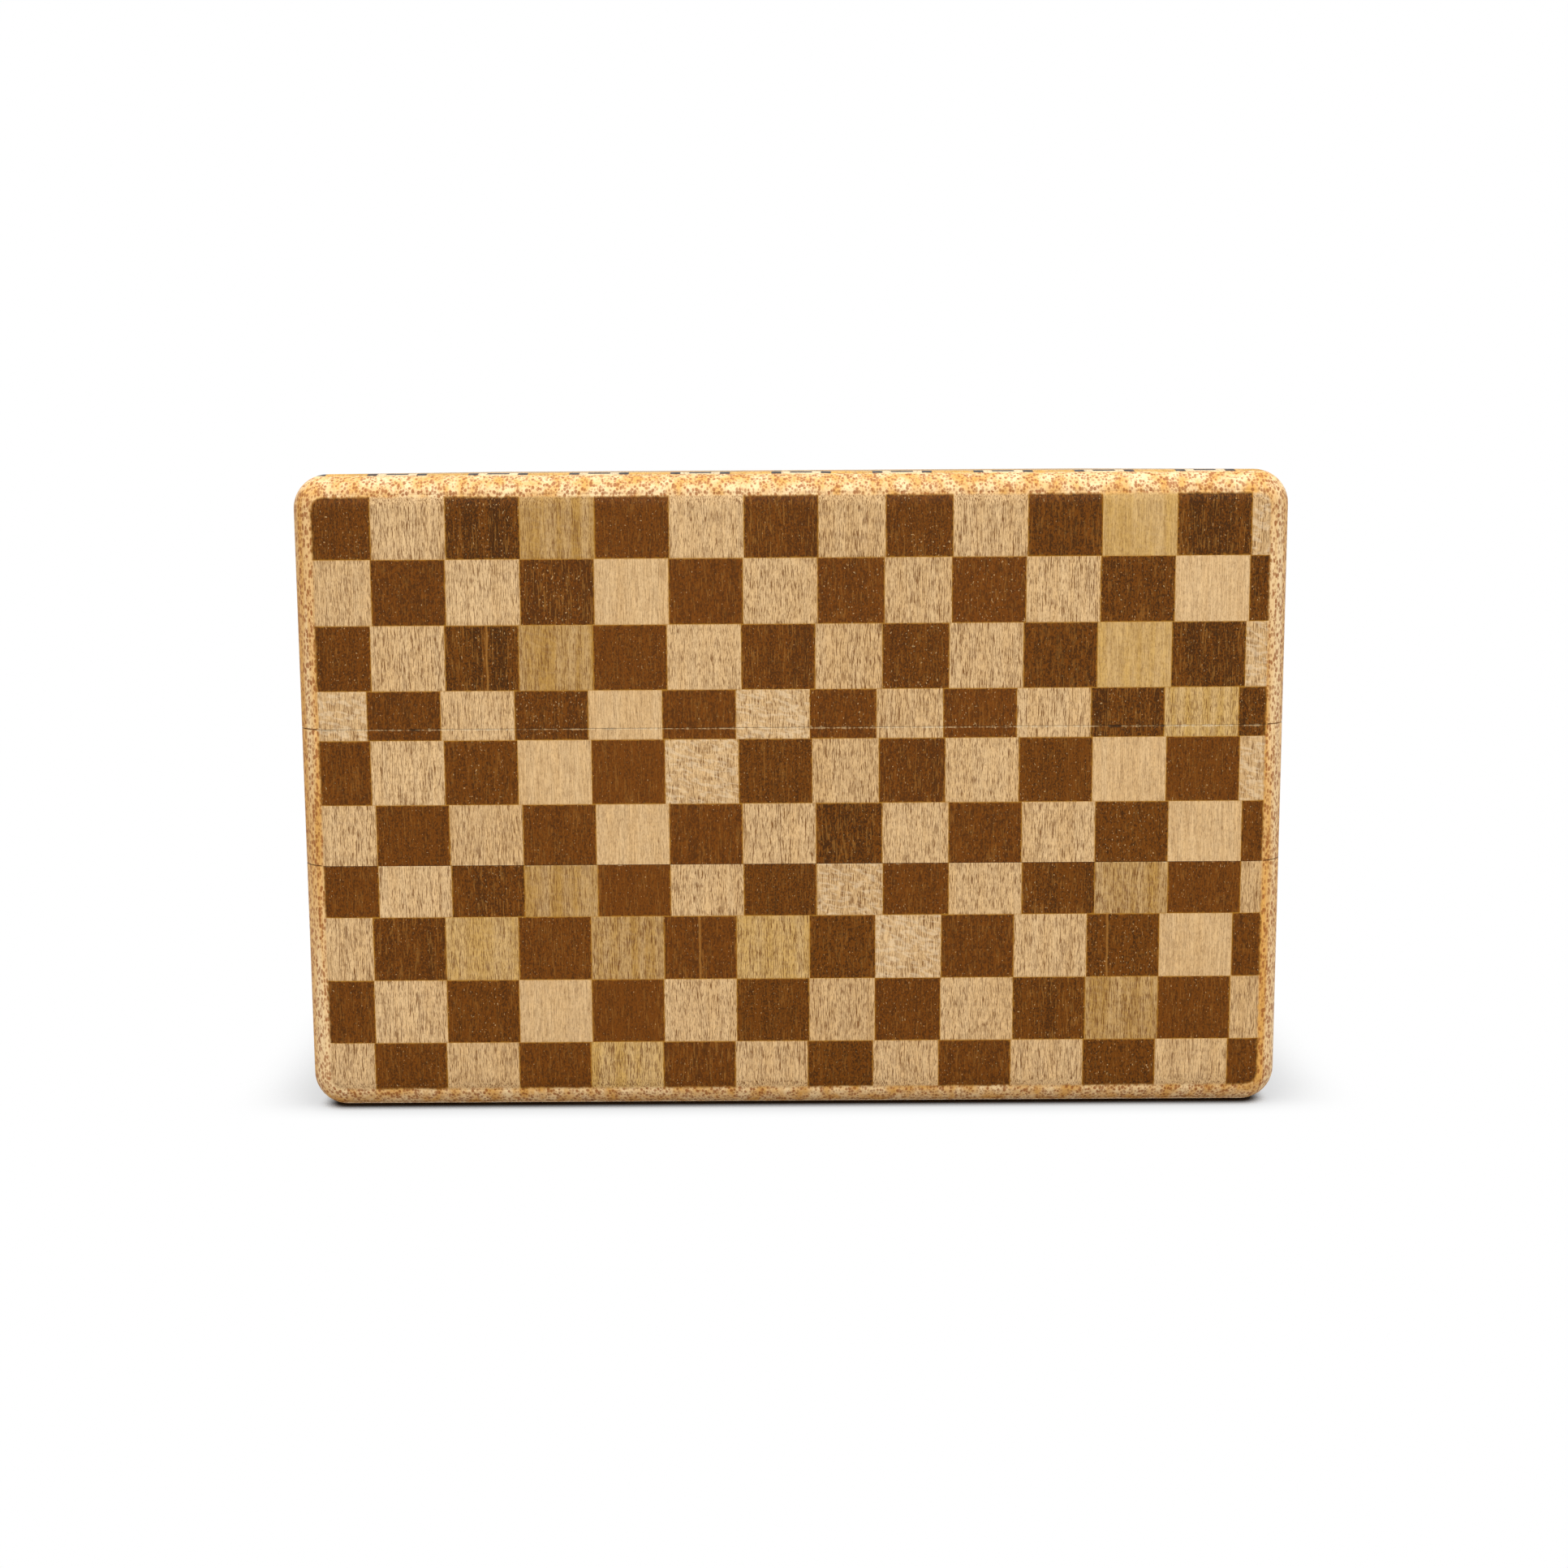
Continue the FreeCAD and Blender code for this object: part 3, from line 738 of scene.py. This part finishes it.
def column_edges(shift):
    """The joints between the tiles of one row, from one side of the box to the other."""
    tiles = bpy.context.scene.puzzle_tiles
    edges = [CAD_LOW.x, CAD_LOW.x + tiles.first_column + shift]
    while edges[-1] < CAD_HIGH.x:
        narrow = len(edges) - 1 in NARROW_COLUMNS
        edges.append(edges[-1] + (tiles.narrow_width if narrow else tiles.width))
    return edges[:-1] + [CAD_HIGH.x]


def tile_tone(row, column, dark):
    """Tone of one tile. Rows that were sliced from the same stack of sticks repeat each other's draw."""
    stack = row % 2 + (2 if row >= 4 else 0)
    draw = random.Random(bpy.context.scene.puzzle_tiles.seed + 131 * stack + 17 * column)
    seed = [draw.uniform(0.0, 0.4), draw.uniform(0.0, 0.4), draw.uniform(0.0, 0.4) + 0.011 * row]
    value, second = draw.random(), draw.random()
    spot = (row, column)
    if dark:
        lined = 1.0 if spot in LINED_TILES else 0.0
        value = 0.45 + 0.55 * value if row < 4 else 0.55 * value
        streaky = 1.0 if spot in STREAKY_TILES else draw.uniform(0.1, 0.4)
        return seed, (value, second, lined, streaky)
    wood = 1.0 if spot in OLIVE_TILES else 0.5 if spot in GOLDEN_TILES else 0.28 * second
    lacy = 1.0 if spot in LACY_TILES else 0.12
    smooth = 1.0 if spot in SMOOTH_TILES else draw.uniform(0.0, 0.3)
    return seed, (value, wood, lacy, smooth)


def blank_tone():
    """An empty shape for the tiles of one tone, with the layers that the finishes read."""
    shape = bmesh.new()
    shape.loops.layers.uv.new("tile")
    shape.faces.layers.float_vector.new("tile_seed")
    shape.faces.layers.float_color.new("tile_tone")
    return shape


def add_tile(shape, mesh, centre, half, seed, shade):
    """Add a cut tile to the shape of its tone. Its joints are at -1 and 1 in the tile layer."""
    count = len(shape.faces)
    shape.from_mesh(mesh)
    shape.faces.ensure_lookup_table()
    local = shape.loops.layers.uv["tile"]
    start = shape.faces.layers.float_vector["tile_seed"]
    shading = shape.faces.layers.float_color["tile_tone"]
    for face in shape.faces[count:]:
        face[start] = seed
        face[shading] = shade
        for loop in face.loops:
            spot = loop.vert.co
            loop[local].uv = ((spot.x - centre[0]) / half[0], (spot.z - centre[1]) / half[1])


def strip_tiles(sheet, foot, top, saw_cuts):
    """The dark and the light tiles of one strip, cut from the rounded sheet."""
    tiles = bpy.context.scene.puzzle_tiles
    tones = [blank_tone(), blank_tone()]
    passing = bpy.data.meshes.new("passing")
    row_top = CAD_HIGH.z + saw_cuts * tiles.saw_kerf
    row_foot = row_top - tiles.first_row
    row = 0
    while row_top > foot:
        low, high = max(row_foot, foot), min(row_top, top)
        if low < high:
            run = slab(sheet, 2, low, high)
            edges = column_edges(ROW_SHIFTS[row % len(ROW_SHIFTS)] * MM)
            for column, (left, right) in enumerate(zip(edges, edges[1:])):
                tone = (row + column) % 2
                tile = slab(run, 0, left, right)
                tile.to_mesh(passing)
                tile.free()
                half = tiles.width / 2
                middle = (left + right) / 2
                if column == 0:
                    middle = right - half
                elif right == edges[-1]:
                    middle = left + half
                else:
                    half = (right - left) / 2
                centre = (middle, (row_top + row_foot) / 2)
                seed, shade = tile_tone(row, column, tone == 0)
                add_tile(tones[tone], passing, centre, (half, (row_top - row_foot) / 2), seed, shade)
            run.free()
        row_top = row_foot
        row_foot = row_top - tiles.height
        row += 1
    bpy.data.meshes.remove(passing)
    return tones


class OBJECT_OT_puzzle_materials(bpy.types.Operator):
    """Make the node groups and the finishes"""
    bl_idname = "object.puzzle_materials"
    bl_label = "Woods and Marquetry"

    def execute(self, context):
        groups = {
            "grain": grain_group(),
            "joint": joint_group(),
            "feather": feather_group(),
            "chip": chip_group(),
            "lattice": lattice_group(),
        }
        groups["core"] = core_group(groups["grain"])
        dark_tile_material(groups)
        light_tile_material(groups)
        core_material(groups, "bare_end_wood", "Z", END_FLECKS)
        core_material(groups, "bare_board_wood", "Y", BOARD_FLECKS)
        for along in "XYZ":
            inner_material(groups, "planed_wood_" + along.lower(), along)
        lattice_material(groups, "flat_marquetry", True)
        lattice_material(groups, "side_marquetry", False)
        return {"FINISHED"}


class OBJECT_OT_puzzle_boards(bpy.types.Operator):
    """Give the core boards and strips smooth sanded edges"""
    bl_idname = "object.puzzle_boards"
    bl_label = "Core Boards"

    def execute(self, context):
        for strip, body, _, _ in END_STRIPS:
            self.smooth_copy(strip + "_strip", body)
        block = rounded_block()
        for body in ("lid", "base"):
            self.layer(block, body + "_board", body, "core_wood", "bare_board_wood")
            self.layer(block, body + "_veneer", body, "face_marquetry", "flat_marquetry")
        block.free()
        return {"FINISHED"}

    def layer(self, block, node, body, slot, finish):
        """A flat layer of the rounded box, as thick and as long as a CAD board."""
        low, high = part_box(node)
        tall = slab(block, 2, low.z, high.z)
        front = CAD_LOW.y - MM if node == "lid_veneer" else low.y
        rear = CAD_HIGH.y + MM if node == "base_veneer" else high.y
        shape = slab(tall, 1, front, rear)
        tall.free()
        finished(shape, node, body, finish)

    def smooth_copy(self, node, body):
        """A merged copy of a CAD strip with its dovetail grooves."""
        shape = bmesh.new()
        shape.from_mesh(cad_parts[node].data)
        bmesh.ops.remove_doubles(shape, verts=shape.verts[:], dist=1e-6)
        finished(shape, node, body, "bare_end_wood")


class OBJECT_OT_puzzle_tiles(bpy.types.Operator):
    """Cut the tiles of both ends from sanded sheets of marquetry"""
    bl_idname = "object.puzzle_tiles"
    bl_label = "End Tiles"

    def execute(self, context):
        tiles = context.scene.puzzle_tiles
        block = rounded_block()
        sheet = slab(block, 1, CAD_LOW.y, CAD_LOW.y + tiles.veneer)
        block.free()
        over = Matrix.Translation((0, 0, CAD_HIGH.z)) @ Matrix.Rotation(math.pi, 4, "X")
        for strip, body, saw_cuts, turned in END_STRIPS:
            nodes = [strip + "_tiles_dark", strip + "_tiles_light"]
            boxes = [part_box(node) for node in nodes]
            foot = min(low.z for low, high in boxes) - tiles.lip
            top = max(high.z for low, high in boxes) + tiles.lip
            if turned:
                foot, top = CAD_HIGH.z - top, CAD_HIGH.z - foot
            finishes = (("dark_tile", "brown_tile_veneer"), ("light_tile", "tan_tile_veneer"))
            shapes = strip_tiles(sheet, foot, top, saw_cuts)
            for node, shape, (slot, finish) in zip(nodes, shapes, finishes):
                if turned:
                    bmesh.ops.transform(shape, matrix=over, verts=shape.verts[:])
                finished(shape, node, body, finish)
        sheet.free()
        return {"FINISHED"}


class OBJECT_OT_puzzle_inside(bpy.types.Operator):
    """Finish the sides and the inner pieces, which keep their own shapes"""
    bl_idname = "object.puzzle_inside"
    bl_label = "Sides and Inner Pieces"

    def execute(self, context):
        upright = ("rails", "tongue", "hooks")
        lengthwise = ("runner", "floor")
        for name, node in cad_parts.items():
            if node.hide_render:
                continue
            finish = "planed_wood_x"
            if name.startswith("side_veneer"):
                finish = "side_marquetry"
            elif any(word in name for word in lengthwise) or name.startswith("side_board"):
                finish = "planed_wood_y"
            elif any(word in name for word in upright):
                finish = "planed_wood_z"
            node.data.materials.clear()
            node.data.materials.append(bpy.data.materials[finish])
        return {"FINISHED"}


class OBJECT_OT_puzzle_stage(bpy.types.Operator):
    """Set up the floor, the soft light and the camera"""
    bl_idname = "object.puzzle_stage"
    bl_label = "Stage"

    def execute(self, context):
        stage = context.scene.puzzle_stage
        shape = bmesh.new()
        bmesh.ops.create_grid(shape, x_segments=1, y_segments=1, size=FLOOR_SIZE)
        bmesh.ops.translate(shape, vec=(0.0, 0.0, CAD_LOW.z - FLOOR_GAP), verts=shape.verts[:])
        mesh = bpy.data.meshes.new("floor")
        shape.to_mesh(mesh)
        shape.free()
        floor = bpy.data.objects.new("floor", mesh)
        context.scene.collection.objects.link(floor)
        mesh.materials.append(self.floor_finish(stage))
        self.light("top_light", stage.top_light, TOP_LIGHT_SIDE, TOP_LIGHT_PLACE)
        self.light("front_light", stage.front_light, FRONT_LIGHT_SIDE, FRONT_LIGHT_PLACE)
        self.sky(context, stage)
        eye = bpy.data.cameras.new("eye")
        eye.sensor_fit = "HORIZONTAL"
        eye.angle = stage.view
        eye.clip_start = 0.005
        eye.clip_end = 50.0
        camera = bpy.data.objects.new("eye", eye)
        context.scene.collection.objects.link(camera)
        level = Matrix.Rotation(math.pi / 2 - stage.down, 4, "X")
        camera.matrix_world = Matrix.Translation(stage.eye) @ level @ Matrix.Rotation(stage.roll, 4, "Z")
        context.scene.camera = camera
        context.scene.view_settings.view_transform = "Standard"
        return {"FINISHED"}

    def floor_finish(self, stage):
        """A plain floor with a painted contact shade of the box, darker where little round a spot is open.

        Further off it keeps only a soft painted shadow, a dark sheet laid over the clear floor, and from
        below it is clear, so that the white all round shows and strips that are pushed down past it stay in
        sight.
        """
        material, bench, shader = new_material("plain_floor", 0.9, 0.1)
        path, seen = seen_rays(bench)
        # Painted contact shade: the floor's colour goes to the contact colour where little round a spot is
        # open.
        lit = bench.ease(self.open_sky(bench, CONTACT_REACH), 0.15, 0.75)
        floor = bench.mix(lit, stage.contact, stage.floor)
        bench.feed(shader.inputs["Base Color"], bench.mix(seen, stage.bounce, floor))
        x, y, _ = bench.split(bench.place())
        resting = bpy.context.scene.puzzle_tiles.edge_round
        beside = bench.sum("SUBTRACT", bench.sum("ABSOLUTE", x), CAD_HIGH.x - resting)
        beyond = bench.sum("SUBTRACT", bench.sum("ABSOLUTE", y), CAD_HIGH.y - resting)
        outside = bench.join(bench.sum("MAXIMUM", beside, 0.0), bench.sum("MAXIMUM", beyond, 0.0), 0.0)
        away = bench.put("VectorMath", {0: outside}, operation="LENGTH").outputs["Value"]
        below = bench.put("NewGeometry").outputs["Backfacing"]
        under = bench.sum("LESS_THAN", path["Ray Length"], UNDERSIDE_RAY)
        clear = bench.sum("MAXIMUM", bench.ease(away, *FLOOR_FADE), below)
        clear = bench.sum("MULTIPLY", clear, bench.sum("MAXIMUM", seen, path["Is Shadow Ray"]))
        clear = bench.sum("MAXIMUM", clear, under)
        # A painted soft shadow: a dark sheet over the clear floor, stronger where the spot is closed in, and
        # fading out in front of the box.
        ahead = bench.sum("SUBTRACT", CAD_LOW.y + resting, y)
        soft = bench.ease(self.open_sky(bench, SHADE_REACH), 0.45, 1.0, SHADE_DEPTH, 0.0)
        soft = bench.sum("MULTIPLY", soft, bench.ease(ahead, 0.0, SHADE_AHEAD, 1.0, 0.0))
        soft = bench.sum("MULTIPLY", soft, seen)
        for hidden in (below, under):
            soft = bench.sum("MULTIPLY", soft, bench.sum("SUBTRACT", 1.0, hidden))
        # The clear floor and the dark sheet of the painted soft shadow.
        see_through = bench.put("BsdfTransparent").outputs[0]
        dark = bench.put("BsdfDiffuse", {"Color": stage.contact}).outputs[0]
        further = self.blend(bench, soft, see_through, dark)
        leave = next(item for item in material.node_tree.nodes if item.type == "OUTPUT_MATERIAL")
        bench.feed(leave.inputs["Surface"], self.blend(bench, clear, shader.outputs[0], further))
        return material

    def open_sky(self, bench, reach):
        """How much of what is round a spot of the floor is open, up to a reach."""
        return bench.put("AmbientOcclusion", {"Distance": reach}, samples=16).outputs["AO"]

    def blend(self, bench, factor, first, second):
        """A mix of two shaders."""
        item = bench.put("MixShader", {0: factor})
        bench.feed(item.inputs[1], first)
        bench.feed(item.inputs[2], second)
        return item.outputs[0]

    def light(self, name, power, size, place):
        """A square soft light aimed at the middle of the box."""
        lamp = bpy.data.lights.new(name, "AREA")
        lamp.energy = power
        lamp.size = size
        item = bpy.data.objects.new(name, lamp)
        bpy.context.scene.collection.objects.link(item)
        aim = (CAD_LOW + CAD_HIGH) / 2 - Vector(place)
        item.matrix_world = Matrix.Translation(place) @ aim.to_track_quat("-Z", "Y").to_matrix().to_4x4()

    def sky(self, context, stage):
        """Even light all round, seen as white."""
        world = bpy.data.worlds.new("even_light")
        world.use_nodes = True
        world.node_tree.nodes.clear()
        bench = Bench(world.node_tree)
        _, seen = seen_rays(bench)
        strength = bench.ease(seen, 0.0, 1.0, stage.sky, 1.0)
        air = bench.put("Background", {"Color": (1.0, 1.0, 1.0, 1.0), "Strength": strength})
        leave = bench.put("OutputWorld")
        world.node_tree.links.new(air.outputs[0], leave.inputs["Surface"])
        context.scene.world = world


class VIEW3D_PT_puzzle_box(bpy.types.Panel):
    """Lists the steps that dress the box"""
    bl_idname = "VIEW3D_PT_puzzle_box"
    bl_label = "Puzzle Box"
    bl_space_type = "VIEW_3D"
    bl_region_type = "UI"
    bl_category = "Puzzle Box"

    def draw(self, context):
        for step in STEPS:
            self.layout.operator(step.bl_idname)


SETTINGS = (
    ("puzzle_tiles", PuzzleTiles),
    ("puzzle_woods", PuzzleWoods),
    ("puzzle_stage", PuzzleStage),
)
STEPS = (
    OBJECT_OT_puzzle_materials,
    OBJECT_OT_puzzle_boards,
    OBJECT_OT_puzzle_tiles,
    OBJECT_OT_puzzle_inside,
    OBJECT_OT_puzzle_stage,
)


def register():
    for name, settings in SETTINGS:
        bpy.utils.register_class(settings)
        setattr(bpy.types.Scene, name, PointerProperty(type=settings))
    for step in STEPS:
        bpy.utils.register_class(step)
    bpy.utils.register_class(VIEW3D_PT_puzzle_box)


def unregister():
    bpy.utils.unregister_class(VIEW3D_PT_puzzle_box)
    for step in reversed(STEPS):
        bpy.utils.unregister_class(step)
    for name, settings in reversed(SETTINGS):
        delattr(bpy.types.Scene, name)
        bpy.utils.unregister_class(settings)


def main():
    register()
    bpy.ops.object.puzzle_materials()
    bpy.ops.object.puzzle_boards()
    bpy.ops.object.puzzle_tiles()
    bpy.ops.object.puzzle_inside()
    bpy.ops.object.puzzle_stage()


if __name__ == "__main__":
    main()
